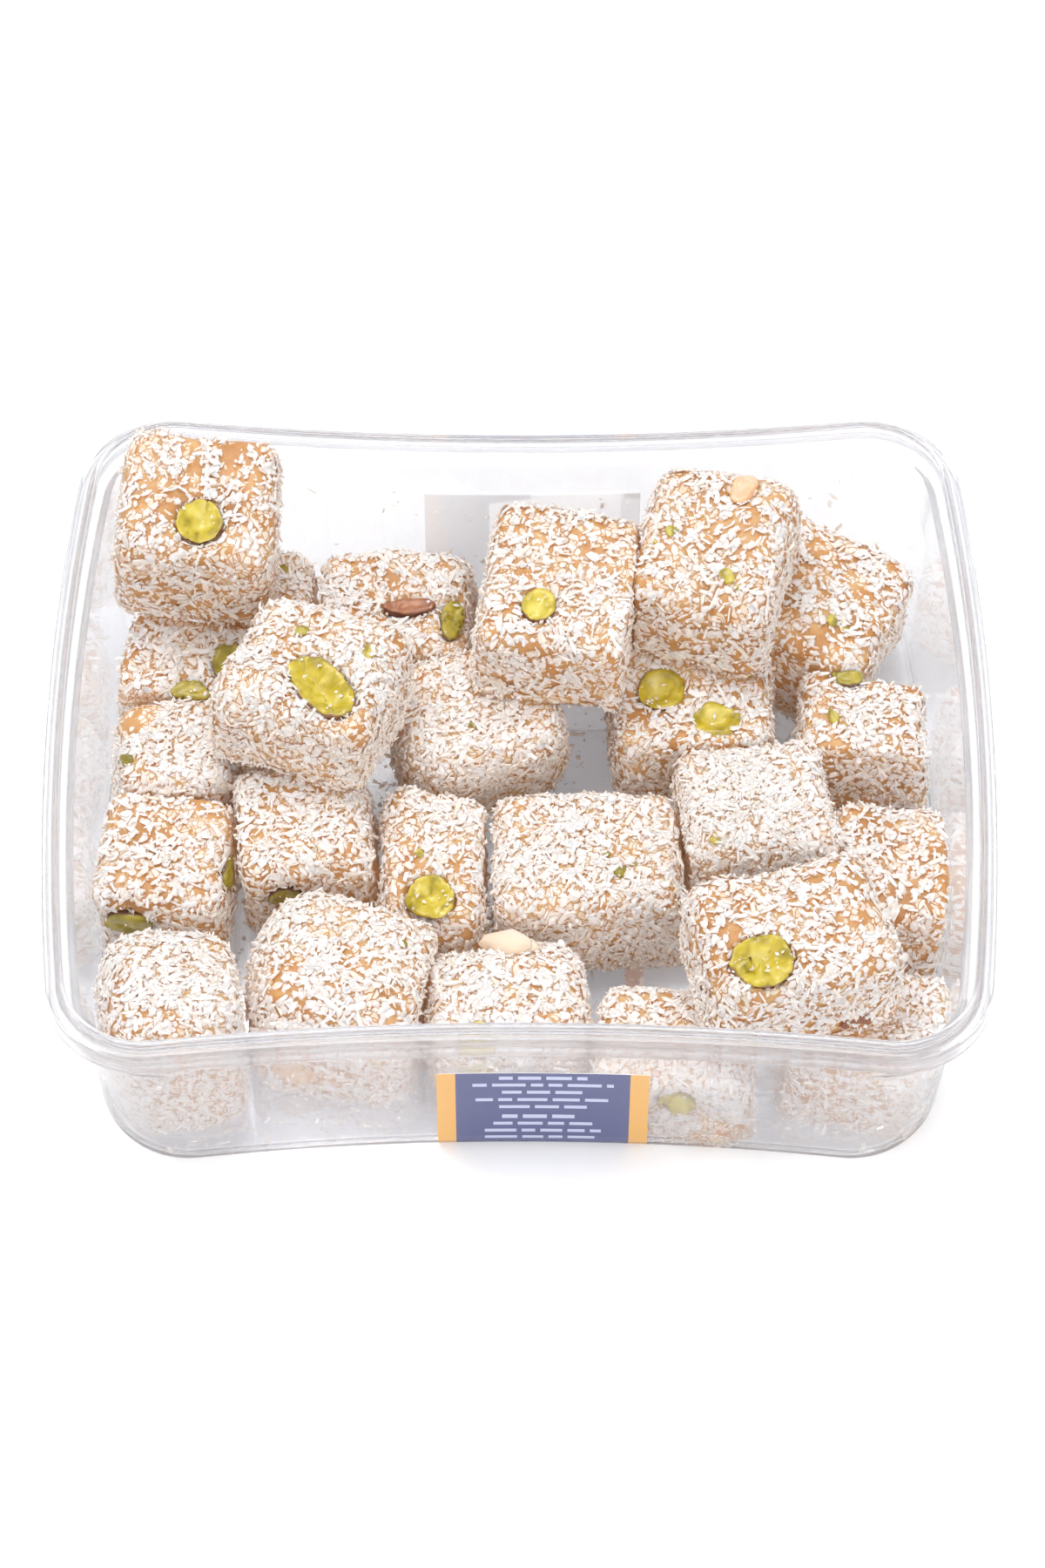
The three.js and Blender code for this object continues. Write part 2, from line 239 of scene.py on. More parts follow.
def paper(name, colour, speck, rough=0.42, coat=0.0, thin=0.0, painted_glow=0.0):
    """Label paper: even ink with a fine fibre mottle. Its subsurface lets light through it; its
    emission is a painted glow that stands in for light coming through it from behind.
    """
    n = Nodes(name)
    fibre = n.noise(900.0, 5.0, 0.7)
    tone = n.mix(n.value(fibre, 0.0, 0.35), rgb(colour), rgb(speck))
    return n.out(n.shader(Base_Color=tone, Roughness=n.value(fibre, rough - 0.06, rough + 0.1),
                          Coat_Weight=coat, Subsurface_Weight=thin,
                          Subsurface_Radius=(1.0, 1.0, 1.0), Subsurface_Scale=0.002,
                          Emission_Color=(1.0, 0.95, 0.9, 1), Emission_Strength=painted_glow,
                          Normal=n.bump(fibre, 0.15, 0.0001)).outputs[0])


def jelly():
    """Amber starch jelly under fine flakes: pale cells with amber lines and breaks between them."""
    n = Nodes("amber_jelly")
    cover = n.add("ShaderNodeAttribute", attribute_name="cover").outputs["Color"]
    depth = n.add("ShaderNodeSeparateColor", {"Color": cover}).outputs["Red"]
    fine = n.noise(1100.0, 5.0, 0.6)
    amber = n.ramp(n.noise(160.0, 3.0), (0.25, rgb("#a56b34")), (0.5, rgb("#c58c50")),
                   (0.8, rgb("#dcb27c")))
    # The cells are bent and drawn out so that they read as flakes lying at all angles.
    cells_per_metre, bent_by = 820.0, 0.0034
    place = n.add("ShaderNodeTexCoord").outputs["Object"]
    bend = n.add("ShaderNodeTexNoise", {"Vector": place, "Scale": 330.0, "Detail": 1.0}
                 ).outputs["Color"]
    shift = n.add("ShaderNodeVectorMath", {0: bend, 1: (bent_by,) * 3},
                  operation="MULTIPLY").outputs[0]
    at = n.add("ShaderNodeVectorMath", {0: place, 1: shift}, operation="ADD").outputs[0]
    cell = n.add("ShaderNodeTexVoronoi", {"Vector": at, "Scale": cells_per_metre})
    gap = n.add("ShaderNodeTexVoronoi", {"Vector": at, "Scale": cells_per_metre},
                feature="DISTANCE_TO_EDGE").outputs["Distance"]
    chance = n.add("ShaderNodeSeparateColor", {"Color": cell.outputs["Color"]})
    inside = n.add("ShaderNodeMapRange", {"Value": gap, "From Min": 0.05, "From Max": 0.11})
    chosen = n.add("ShaderNodeMath", {0: chance.outputs["Red"], 1: depth}, operation="LESS_THAN")
    mask = n.add("ShaderNodeMath", {0: inside.outputs["Result"], 1: chosen.outputs[0]},
                 operation="MULTIPLY").outputs[0]
    flesh = n.mix(chance.outputs["Green"], rgb("#f3ece3"), rgb("#e8cfb4"))
    tone = n.mix(mask, amber, flesh)
    rough = n.value(mask, 0.3, 0.75)
    height = n.add("ShaderNodeMath", {0: mask, 1: fine}, operation="ADD").outputs[0]
    # The faint amber emission is a painted glow, standing in for light that passes through the
    # jelly into its shaded gaps.
    skin = n.shader(Base_Color=tone, Roughness=rough, Subsurface_Weight=0.7,
                    Subsurface_Radius=(1.0, 0.58, 0.3), Subsurface_Scale=0.004, IOR=1.45,
                    Emission_Color=(0.85, 0.48, 0.24, 1), Emission_Strength=0.05,
                    Normal=n.bump(height, 0.7, 0.0004))
    return n.out(skin.outputs[0])


def coconut():
    """Dried coconut: white, creamier where it has drawn up syrup and where painted shade lies on
    the sides of the sweets, with a fibrous grain.
    """
    n = Nodes("coconut")
    tint = n.add("ShaderNodeAttribute", attribute_name="tint").outputs["Color"]
    soak_and_shade = n.add("ShaderNodeSeparateColor", {"Color": tint}).outputs["Red"]
    tone = n.mix(soak_and_shade, rgb("#f9f6f2"), rgb("#ecd3b8"))
    grain = n.noise(1500.0, 3.0)
    tone = n.mix(n.value(grain, 0.0, 0.14), tone, rgb("#e9dccf"))
    flesh = n.shader(Base_Color=tone, Roughness=n.value(grain, 0.5, 0.7), IOR=1.4,
                     Subsurface_Weight=0.5, Subsurface_Radius=(1.0, 0.8, 0.6),
                     Subsurface_Scale=0.001)
    return n.out(flesh.outputs[0])


def nut(name, rough=0.3):
    """Nut flesh: its painted zones, broken by mottling, with an oily gloss."""
    n = Nodes(name)
    zone = n.add("ShaderNodeAttribute", attribute_name="zone").outputs["Color"]
    mottle = n.noise(420.0, 4.0, 0.6)
    tone = n.mix(n.value(mottle, 0.0, 0.5), zone, n.mix(0.55, zone, (0.02, 0.015, 0.0, 1)))
    tone = n.mix(n.ramp(n.noise(700.0, 2.0), (0.66, (0, 0, 0, 1)), (0.72, (0.5, 0.5, 0.5, 1))),
                 tone, n.mix(0.5, zone, (1, 0.97, 0.6, 1)))
    return n.out(n.shader(Base_Color=tone, Roughness=n.value(mottle, rough - 0.08, rough + 0.15),
                          Subsurface_Weight=0.15, Subsurface_Radius=(0.6, 0.6, 0.1),
                          Subsurface_Scale=0.001, Coat_Weight=0.25, Coat_Roughness=0.25,
                          Normal=n.bump(mottle, 0.35, 0.0003)).outputs[0])


def studio_floor():
    """The white sweep under the tub."""
    n = Nodes("studio_floor")
    grain = n.noise(30.0, 4.0)
    return n.out(n.shader(Base_Color=n.mix(n.value(grain, 0.0, 0.04), (0.9, 0.9, 0.905, 1),
                                           (0.86, 0.86, 0.87, 1)),
                          Roughness=0.6, Emission_Color=(1, 1, 1, 1),
                          Emission_Strength=0.22).outputs[0])


MAT = {
    "plastic": clear_plastic(),
    "blue": paper("label_blue", "#31376c", "#484e84", 0.38, 0.3),
    "gold": paper("label_gold", "#d99a36", "#eab866", 0.34, 0.3),
    "edge": paper("label_edge", "#fbfaf9", "#ffffff", thin=1.0),
    # The bare inside of the label carries a painted glow, standing in for light from the table
    # coming through the paper.
    "back": paper("label_back", "#e3e2e7", "#efeff2", 0.6, thin=1.0, painted_glow=0.14),
    "print": paper("label_print", "#b3b8d6", "#c6cae2", 0.38, 0.3),
    "jelly": jelly(),
    "coconut": coconut(),
    "pistachio": nut("pistachio"),
    "kernel": nut("pistachio_kernel", 0.34),
    "hazelnut": nut("pale_nut", 0.45),
    "floor": studio_floor(),
}


# ---------------------------------------------------------------- the tub

LIP = (160.0, 139.2)  # length and width at the lip, mm
SIDE_IN, SIDE_OUT = 6.0, 5.0  # long sides curve in, short sides bulge out, mm
TUB_HEIGHT = 45.5
RIM = TUB_HEIGHT - 5.8  # lower edge of the lid band
BAND = 2.4  # how far the lid band stands out
FLOOR = 1.2  # thickness of the tub's floor
PANEL = (100.0, 60.0, 8.0, 1.1)  # the raised floor panel: length, width, corner, rise
STEPS = (14, 22, 26)  # facets of a quarter outline: short side, corner, long side


def long_side(x, inset):
    """The half-width of the tub at x, for a wall `inset` mm inside the lip."""
    a, b = LIP[0] / 2 - inset, LIP[1] / 2 - inset
    return b - SIDE_IN + SIDE_IN * (x / a) ** 2


def outline(length, width, side_in, side_out, corner):
    """A closed ring of points: bulging short sides, curved-in long sides, round corners."""
    a, b = length / 2, width / 2

    def short(y):
        n = np.array([1.0, 2 * side_out * y / b ** 2])
        return np.array([a - side_out * (y / b) ** 2, y]), n / np.linalg.norm(n)

    def long(x):
        n = np.array([-2 * side_in * x / a ** 2, 1.0])
        return np.array([x, b - side_in + side_in * (x / a) ** 2]), n / np.linalg.norm(n)

    # The corner's arc is moved until it meets both sides without a kink.
    x, y = a - corner, b - corner
    for _ in range(40):
        (lp, ln), (sp, sn) = long(x), short(y)
        y = lp[1] - corner * ln[1] + corner * sn[1]
        x = sp[0] - corner * sn[0] + corner * ln[0]
    (sp, sn), (lp, ln) = short(y), long(x)
    centre = sp - corner * sn
    t0, t1 = math.atan2(sn[1], sn[0]), math.atan2(ln[1], ln[0])
    quarter = [short(y * i / STEPS[0])[0] for i in range(STEPS[0])]
    for i in range(STEPS[1]):
        t = t0 + (t1 - t0) * i / STEPS[1]
        quarter.append(centre + corner * np.array([math.cos(t), math.sin(t)]))
    quarter += [long(x - x * i / STEPS[2])[0] for i in range(STEPS[2] + 1)]
    q = np.array(quarter)
    upper = np.vstack([q, (q[1:-1] * (-1, 1))[::-1], [[-q[0][0], 0.0]]])
    return np.vstack([upper, (upper[1:-1] * (1, -1))[::-1]])


def wall_ring(inset, z, corner):
    """The tub's outline drawn in from the lip, at one height."""
    pts = outline(LIP[0] - 2 * inset, LIP[1] - 2 * inset, SIDE_IN, SIDE_OUT, corner)
    return np.column_stack([pts, np.full(len(pts), z)])


def panel_ring(grow, z):
    """The floor panel's outline, grown or shrunk, at one height."""
    pts = outline(PANEL[0] + 2 * grow, PANEL[1] + 2 * grow, 0, 0, PANEL[2] + grow)
    return np.column_stack([pts, np.full(len(pts), z)])


def eased(profile, radius):
    """Rounds each turn of an (inset, z, corner) profile with a short three-point curve."""
    p = np.array(profile, float)
    out = [p[0]]
    for a, b, c in zip(p, p[1:], p[2:]):
        u, v = a - b, c - b
        lu, lv = np.linalg.norm(u[:2]), np.linalg.norm(v[:2])
        turn = np.dot(u[:2], v[:2]) / (lu * lv)
        if turn < -0.985:  # nearly straight
            out.append(b)
            continue
        r = min(radius, 0.45 * lu, 0.45 * lv)
        s, e = b + u / lu * r, b + v / lv * r
        out += [s, 0.25 * s + 0.5 * b + 0.25 * e, e]
    return out + [p[-1]]


# The outside of the wall, from the foot to the shoulder: (inset, height, corner).
OUTER = [(8, 0, 12), (5.6, 0.5, 14), (4.5, 2.2, 16), (4.1, 5, 17), (2.5, 30, 16.5)]
INNER = [(5.7, 3.1, 15), (5.2, 5.4, 16), (3.6, 30.8, 15.4)]  # and of the inside


def inset_at(z, profile):
    """How far inside the lip a wall profile is at height z."""
    return np.interp(z, [p[1] for p in profile], [p[0] for p in profile])


def make_tub():
    """One shell: out from the middle of the foot, up and over the lip, and down the inside."""
    lip_z, side = RIM + 4.2, 0.8 - BAND
    # Foot, outer wall, shoulder, hollow lid band, lip, inner wall and floor, in that order.
    profile = eased([(11, 0, 9), *OUTER, (2.4, 31.2, 12.6), (1.9, RIM + 0.1, 12.9),
                     (1.6, RIM + 0.5, 13.2), (0.1, RIM + 0.6, 14.6), (0, RIM + 2.9, 14.7),
                     (-1.4, RIM + 2.9, 16), (side, RIM, 16.1), (0.1 - BAND, RIM, 16.8),
                     (-BAND, RIM + 0.3, 16.9), (0.2 - BAND, RIM + 3.7, 16.7),
                     (0.7 - BAND, lip_z - 0.1, 16.2), (0, lip_z, 14.5),
                     (0, TUB_HEIGHT - 0.2, 14.5), (0.2, TUB_HEIGHT, 14.3),
                     (0.7, TUB_HEIGHT, 13.8), (0.9, TUB_HEIGHT - 0.2, 13.6),
                     (1, RIM + 2, 13.5), (1.2, RIM + 1.7, 13.3), (2.7, RIM + 1.5, 12),
                     (3, RIM + 1.1, 11.7), (3.5, 32, 11.4), *INNER[::-1], (7, 1.6, 13.5),
                     (9, FLOOR, 11), (12, FLOOR, 9)], 0.6)
    rise = PANEL[3]
    rings = [panel_ring(-4, rise), panel_ring(-0.3, rise), panel_ring(0.2, rise - 0.25),
             panel_ring(0.8, 0.2), panel_ring(1.4, 0.0)]
    rings += [wall_ring(*p) for p in profile]
    rings += [panel_ring(1.2, FLOOR), panel_ring(0.6, 1.4), panel_ring(0.0, 1.0 + rise),
              panel_ring(-0.6, FLOOR + rise), panel_ring(-5, FLOOR + rise)]
    n = len(rings[0])
    co = np.vstack(rings + [[[0, 0, rise]], [[0, 0, FLOOR + rise]]]) * MM
    i = np.arange(n)
    j = (i + 1) % n
    faces = []
    for k in range(len(rings) - 1):
        lo, hi = k * n, (k + 1) * n
        faces += np.column_stack([lo + i, lo + j, hi + j, hi + i]).tolist()
    first, last, top = len(co) - 2, len(co) - 1, (len(rings) - 1) * n
    faces += np.column_stack([np.full(n, first), j, i]).tolist()
    faces += np.column_stack([np.full(n, last), top + i, top + j]).tolist()
    me = bpy.data.meshes.new("tub_shell")
    me.from_pydata(co.tolist(), [], faces)
    shade(me, True)
    me.materials.append(MAT["plastic"])
    me.update()
    # Corner normals weighed by area keep the walls flat between their small rounds.
    co, tri, _ = arrays(me)
    cross = np.cross(co[tri[:, 1]] - co[tri[:, 0]], co[tri[:, 2]] - co[tri[:, 0]])
    normal = np.zeros_like(co)
    for corner in range(3):
        np.add.at(normal, tri[:, corner], cross)
    normal /= np.maximum(np.linalg.norm(normal, axis=1), 1e-15)[:, None]
    me.normals_split_custom_set_from_vertices(normal.tolist())
    return add_piece("tub_shell", me, "clear_plastic", "tub")


# ---------------------------------------------------------------- the label

LABEL_FRONT, LABEL_BACK = (-14.0, 22.0), (-17.5, 22.0)  # edges in x at the front and back
LABEL_TOP = (27.0, 32.4)  # heights of the front and back ends
LABEL_SLANT = 65.0  # its edges slant evenly from this far in front to this far behind
BORDER, LABEL_THICK, LABEL_PROUD = 3.2, 0.2, 0.02  # its face stands just proud of the tub


def label_path(x, depth):
    """Points (y, z) down the front wall, under the base and up the back, at one x."""
    wall = eased([*OUTER, (2.15, 36, 16.4)], 1.0)
    height = np.array([p[1] for p in wall])
    side = []
    for top in LABEL_TOP:
        z = np.concatenate([height[height < top - 1], [top]])
        y = long_side(x, inset_at(z, wall) + depth)
        zz = np.maximum(z, 0) + depth * (z < 0.01)
        side.append(np.column_stack([y, zz]))
    front, back = side
    under = np.linspace(-1, 1, 30)[1:-1, None] * [[front[0][0], 0]] + [[0, depth]]
    return np.vstack([front[::-1] * (-1, 1), under, back])


def make_label():
    """The strip as a thin solid: printed outside, bare inside, in columns from side to side."""
    width = LABEL_FRONT[1] - LABEL_FRONT[0]
    border = BORDER / width
    us = sorted({0.0, 0.012, 0.988, 1.0, *np.linspace(border, 1 - border, 11)})
    shells = []
    for depth in (-LABEL_PROUD, LABEL_THICK - LABEL_PROUD):
        rows = []
        for u in us:
            path = label_path(LABEL_FRONT[0] + u * width, depth)
            k = (path[:, 0] + LABEL_SLANT) / (2 * LABEL_SLANT)
            x0 = LABEL_FRONT[0] + (LABEL_BACK[0] - LABEL_FRONT[0]) * k
            x1 = LABEL_FRONT[1] + (LABEL_BACK[1] - LABEL_FRONT[1]) * k
            rows.append(np.column_stack([x0 + u * (x1 - x0), path]))
        shells.append(np.array(rows))
    nu, nv = shells[0].shape[:2]
    co = np.vstack([s.reshape(-1, 3) for s in shells]) * MM

    def at(shell, i, j):
        return (shell * nu + i) * nv + j

    faces, slots = [], []
    for i in range(nu - 1):
        for j in range(nv - 1):
            u = (us[i] + us[i + 1]) / 2
            gold = u < border or u > 1 - border
            faces.append([at(0, i, j), at(0, i, j + 1), at(0, i + 1, j + 1), at(0, i + 1, j)])
            slots.append(1 if gold else 0)
            faces.append([at(1, i, j), at(1, i + 1, j), at(1, i + 1, j + 1), at(1, i, j + 1)])
            slots.append(2 if u > 1 - 1.15 * border else 3)
    for i in range(nu - 1):
        for j, flip in ((0, False), (nv - 1, True)):
            f = [at(0, i, j), at(0, i + 1, j), at(1, i + 1, j), at(1, i, j)]
            faces.append(f[::-1] if flip else f)
            slots.append(2)
    for j in range(nv - 1):
        for i, flip in ((0, True), (nu - 1, False)):
            f = [at(0, i, j), at(0, i, j + 1), at(1, i, j + 1), at(1, i, j)]
            faces.append(f[::-1] if flip else f)
            slots.append(2)
    me = bpy.data.meshes.new("label_strip")
    me.from_pydata(co.tolist(), [], faces)
    for m in ("blue", "gold", "edge", "back"):
        me.materials.append(MAT[m])
    me.polygons.foreach_set("material_index", slots)
    bm = bmesh.new()
    bm.from_mesh(me)
    bmesh.ops.recalc_face_normals(bm, faces=bm.faces)
    bm.to_mesh(me)
    bm.free()
    shade(me, False)
    add_piece("label_strip", me, "label_paper", "label")


def wall_point(x, z, lift):
    """A point on the outside of the front wall."""
    return Vector((x, -long_side(x, inset_at(z, OUTER) - lift), z)) * MM


def make_print():
    """Rows of plain bars where a label would carry its small print."""
    rng = np.random.default_rng(SEED)
    centre = (LABEL_FRONT[0] + LABEL_FRONT[1]) / 2
    shortest, longest, gap, ink = 1.8, 6.0, 0.9, 0.04
    bm = bmesh.new()
    # Each row: its height on the wall, its width, and half the height of its bars.
    rows = [(25.3, 15, 0.55), (22.9, 24, 0.5), (20.4, 14, 0.5), (17.8, 23, 0.5), (15.3, 15, 0.5),
            (11.9, 14, 0.62), (9.4, 17, 0.5), (6.9, 20, 0.5), (4.5, 20, 0.5)]
    for z, width, half in rows:
        x, end = centre - width / 2, centre + width / 2
        while x < end - 1:
            w = min(float(rng.uniform(shortest, longest)), end - x)
            rings = [[bm.verts.new(wall_point(s, z + dz, lift)) for dz, lift in
                      ((-half, ink), (half, ink), (half, 0.0), (-half, 0.0))]
                     for s in np.linspace(x, x + w, 5)]
            for near, far in zip(rings, rings[1:]):
                for k in range(4):
                    m = (k + 1) % 4
                    bm.faces.new([near[k], far[k], far[m], near[m]])
            bm.faces.new(rings[0])
            bm.faces.new(rings[-1][::-1])
            x += w + gap
    me = bpy.data.meshes.new("label_bars")
    bm.to_mesh(me)
    bm.free()
    me.materials.append(MAT["print"])
    add_piece("label_bars", me, "label_paper")


# ---------------------------------------------------------------- the sweets

# How thickly each sweet is coated: above 1 it is nearly white, below 0.8 amber breaks through.
COAT = dict(a=0.66, b=0.74, c=0.76, d=0.68, e=0.62, f=0.58, g=0.76, h=0.86, i=1.5, j=0.64,
            k=0.74, l=1.08, m=0.98, n=0.92, o=1.1, p=0.58, q=0.92, r=0.82, s=1.05, t=0.92, u=1.1,
            v=0.95, w=1.0, x=0.8, y=0.8, z=0.9, aa=0.85)
INSET = 0.05  # the jelly lies this far inside its coat, mm
NAMES = sorted(n[6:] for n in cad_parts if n.startswith("sweet_"))
NUTS = sorted(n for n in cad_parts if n.startswith("nut_"))


def make_core(name, order):
    """The jelly of one sweet: the CAD block softened, drawn in, and given an uneven relief."""
    me = refined(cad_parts["sweet_" + name], [
        ("REMESH", dict(mode="VOXEL", voxel_size=1.15 * MM)),
        ("SMOOTH", dict(factor=0.5, iterations=3)),
    ])
    co, _, nor = arrays(me)
    lumps = (1.1 * noise3(co, 11 * MM, order + 20) + 0.34 * noise3(co, 3.2 * MM, order)
             + 0.16 * noise3(co, 1.3 * MM, order + 40))
    co = co + nor * ((lumps - INSET) * MM)[:, None]
    move_points(me, co)
    cover = 0.62 * COAT[name] + 0.24 + 0.55 * noise3(co, 7 * MM, order + 80)
    paint(me, "cover", np.column_stack([np.repeat(cover[:, None], 3, 1), np.ones(len(co))]))
    me.materials.append(MAT["jelly"])
    shade(me, True)
    return add_piece("jelly_" + name, me, "jelly", "sweet_" + name)


def tree_of(objects):
    """One search tree over several meshes, in metres."""
    verts, faces, base = [], [], 0
    for o in objects:
        co, tri, _ = arrays(o.data)
        verts.append(co)
        faces.append(tri + base)
        base += len(co)
    return BVHTree.FromPolygons(np.vstack(verts).tolist(), np.vstack(faces).tolist())


# Flesh from deep to pale, and the skin left round it.
NUT_LOOK = {
    "pistachio": ("#9f8a18", "#d2b926", "#f0df68", "#8a5a3a"),
    "kernel": ("#84741a", "#ac9a26", "#ccb640", "#6b4632"),
    "hazelnut": ("#e3ac78", "#f0c79c", "#f8dfbd", "#b87447"),
    "skinned": ("#8a4a2c", "#a5623c", "#c07c50", "#6d3a26"),
}
NUT_KIND = {"nut_b": "kernel", "nut_b2": "kernel", "nut_y": "kernel", "nut_c2": "kernel",
            "nut_h": "kernel", "nut_p": "kernel", "nut_p2": "kernel", "nut_q": "kernel",
            "nut_c": "skinned", "nut_e": "hazelnut", "nut_t": "hazelnut"}


def make_nut(node, cores, order):
    """A nut in its pocket: nearly flush where it was cut, cracked, with skin left at its rim."""
    kind = NUT_KIND.get(node, "pistachio")
    me = refined(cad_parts[node], [
        ("REMESH", dict(mode="VOXEL", voxel_size=0.42 * MM)),
        ("SMOOTH", dict(factor=0.5, iterations=4)),
    ])
    co, _, nor = arrays(me)
    near = [cores.find_nearest(Vector(p)) for p in co]
    foot, face = (np.array([tuple(h[k]) for h in near]) for k in (0, 1))
    out = np.einsum("ij,ij->i", co - foot, face) / MM
    axis = face[out > 0].mean(axis=0)
    axis /= np.linalg.norm(axis)
    top = float(np.percentile(out, 99))
    # A cut face is planed down to just over the coat; a whole kernel stays rounder.
    level = 0.75 if kind in ("pistachio", "hazelnut") else 1.05
    press = np.clip(out - level, 0, None) * (0.85 if kind == "pistachio" else 0.55)
    facet = np.abs(noise3(co, 3.4 * MM, order + 3)) + 0.5 * np.abs(noise3(co, 1.5 * MM, order + 5))
    groove = -0.75 * np.exp(-(facet / 0.16) ** 2)
    rough = 0.16 * noise3(co, 1.1 * MM, order + 7) + 0.6 * noise3(co, 3.4 * MM, order)
    shown = np.clip(out / 0.5, 0, 1)
    swell = rough + shown * groove * 0.5 + 0.15
    co = co - axis * (press * MM)[:, None] + nor * (swell * MM)[:, None]
    move_points(me, co)
    deep, mid, pale, skin = (np.array(rgb(c)) for c in NUT_LOOK[kind])
    # Along the cracks the flesh is painted darker: painted shade in the cracks.
    t = (0.5 + 0.42 * noise3(co, 1.9 * MM, order + 9) + 0.25 * noise3(co, 0.8 * MM, order + 11)
         + 0.45 * (np.clip(out / max(top, 0.4), 0, 1) - 0.6) - 0.5 * np.exp(-(facet / 0.09) ** 2))
    t = np.clip(t, 0, 1)[:, None]
    tone = np.where(t < 0.5, deep * (1 - 2 * t) + mid * 2 * t,
                    mid * (2 - 2 * t) + pale * (2 * t - 1))
    lean = nor @ axis
    rim = np.clip((0.3 + 0.5 * noise3(co, 3.0 * MM, order + 17) - lean) / 0.12, 0, 1)[:, None]
    paint(me, "zone", tone * (1 - rim) + skin * rim)
    look = "hazelnut" if kind in ("hazelnut", "skinned") else kind
    me.materials.append(MAT[look])
    shade(me, True)
    slot = {"pistachio": "pistachio_cut", "kernel": "pistachio_skin"}.get(look, "pale_nut")
    return add_piece(node + "_flesh", me, slot, node)


# ---------------------------------------------------------------- the coconut

# Sizes are low and high in mm, tilt is in degrees; `count` lie on the sweets and `loose` on the
# tub's floor.
Kind = namedtuple("Kind", "shape length width thick count tilt curl loose")
KINDS = {
    "coconut_shreds": Kind("slab2", (2.3, 3.8), (0.6, 1.0), (0.2, 0.34), 2200, 7, 0.12, 16),
    "coconut_chips": Kind("chip", (1.8, 2.8), (1.1, 1.8), (0.2, 0.42), 12800, 12, 0.0, 50),
    "coconut_flakes": Kind("chip", (1.1, 2.0), (0.75, 1.25), (0.2, 0.4), 15500, 18, 0.0, 90),
    "coconut_slivers": Kind("slab1", (1.1, 2.2), (0.5, 0.85), (0.22, 0.36), 14000, 13, 0.04, 120),
    "coconut_grains": Kind("bead", (0.8, 1.5), (0.5, 0.9), (0.4, 0.7), 15600, 35, 0.0, 240),
    "coconut_crumbs": Kind("bead", (0.45, 0.9), (0.35, 0.6), (0.3, 0.5), 8000, 45, 0.0, 420),
}


def slab(stretches):
    """Corner signs and triangles of a slab cut into stretches along its length."""
    pts, tri = [], []
    for i in range(stretches + 1):
        x = -1 + 2 * i / stretches
        pts += [(x, -1, -1), (x, 1, -1), (x, 1, 1), (x, -1, 1)]
    for i in range(stretches):
        a, b = 4 * i, 4 * i + 4
        for k in range(4):
            m = (k + 1) % 4
            tri += [[a + k, b + k, b + m], [a + k, b + m, a + m]]
    e = 4 * stretches
    tri += [[0, 1, 2], [0, 2, 3], [e, e + 2, e + 1], [e, e + 3, e + 2]]
    return np.array(pts, float), np.array(tri)


def bead():
    """Corners and triangles of an eight-sided grain."""
    pts = [(-1, 0, 0), (1, 0, 0), (0, -1, 0), (0, 1, 0), (0, 0, -1), (0, 0, 1)]
    tri = [[0, 2, 5], [2, 1, 5], [1, 3, 5], [3, 0, 5], [2, 0, 4], [1, 2, 4], [3, 1, 4], [0, 3, 4]]
    return np.array(pts, float), np.array(tri)


def chip():
    """A thin six-cornered piece with a middle point above and below."""
    turn = np.arange(6) * math.pi / 3
    pts = np.vstack([np.column_stack([np.cos(turn), np.sin(turn), np.zeros(6)]),
                     [[0, 0, 1], [0, 0, -1]]])
    tri = [[i, (i + 1) % 6, 6] for i in range(6)] + [[(i + 1) % 6, i, 7] for i in range(6)]
    return pts, np.array(tri)


TUFTED = 2.4  # kinds longer than this gather in tufts, mm
SMALL = 1.6  # kinds shorter than this lie on the nuts too, mm
SHAPES = {"slab2": slab(2), "slab1": slab(1), "bead": bead(), "chip": chip()}


def scatter_on(bases, trees, count, gather, rng):
    """Random places on the jelly: point, normal, and room to tilt (0 lies flat)."""
    solid, pips, tub = trees
    weights, meshes = [], []
    for o in bases:
        co, tri, _ = arrays(o.data)
        a, b, c = co[tri[:, 0]], co[tri[:, 1]], co[tri[:, 2]]
        cross = np.cross(b - a, c - a)
        size = np.linalg.norm(cross, axis=1)
        normal = cross / np.maximum(size, 1e-12)[:, None]
        mid = (a + b + c) / 3
        if o.name.startswith("jelly"):
            lumps = 0.85 * noise3(mid, 7 * MM, 5) + 0.45 * noise3(mid, 2.8 * MM, 6)
            w = COAT[o.name[6:]] * (1 + gather * lumps)
            w = np.clip(w, 0.12, 2.2)
        else:
            w = np.clip(0.1 + 0.9 * noise3(mid, 2.0 * MM, 8), 0, 0.6)
        meshes.append((a, b, c, normal))
        weights.append(size * w * np.where(normal[:, 2] < -0.5, 0.3, 1.0))  # fewer underneath
    a, b, c, normal = (np.vstack([m[k] for m in meshes]) for k in range(4))
    w = np.concatenate(weights)
    # More than are needed, as some places turn out to have no room.
    pick = rng.choice(len(w), int(count * 1.45), p=w / w.sum())
    r1, r2 = np.sqrt(rng.random(len(pick))), rng.random(len(pick))
    p = (a[pick] * (1 - r1)[:, None] + b[pick] * (r1 * (1 - r2))[:, None]
         + c[pick] * (r1 * r2)[:, None])
    n = normal[pick]
    # None go where two sweets meet or under a nut, and those by the tub's wall lie flat.
    reach, crowded, buried, by_wall = 1.35 * MM, 0.62, -0.25 * MM, 1.3 * MM
    room = np.zeros(len(p))
    for i in range(len(p)):
        here = Vector(p[i])
        free = solid.find_nearest(Vector(p[i] + n[i] * reach))[3] / reach
        foot, out, _, _ = pips.find_nearest(here)
        inside = (here - foot).dot(out) < buried
        wall = tub.find_nearest(here)[3]
        room[i] = -1 if free < crowded or inside else (0.0 if wall < by_wall else 1.0)
    keep = np.flatnonzero(room >= 0)[:count]
    return p[keep], n[keep], room[keep]


def frames(n, rng):
    """A random pair of tangents for each normal."""
    t = np.cross(n, rng.normal(size=n.shape))
    t /= np.linalg.norm(t, axis=1)[:, None]
    return t, np.cross(n, t)


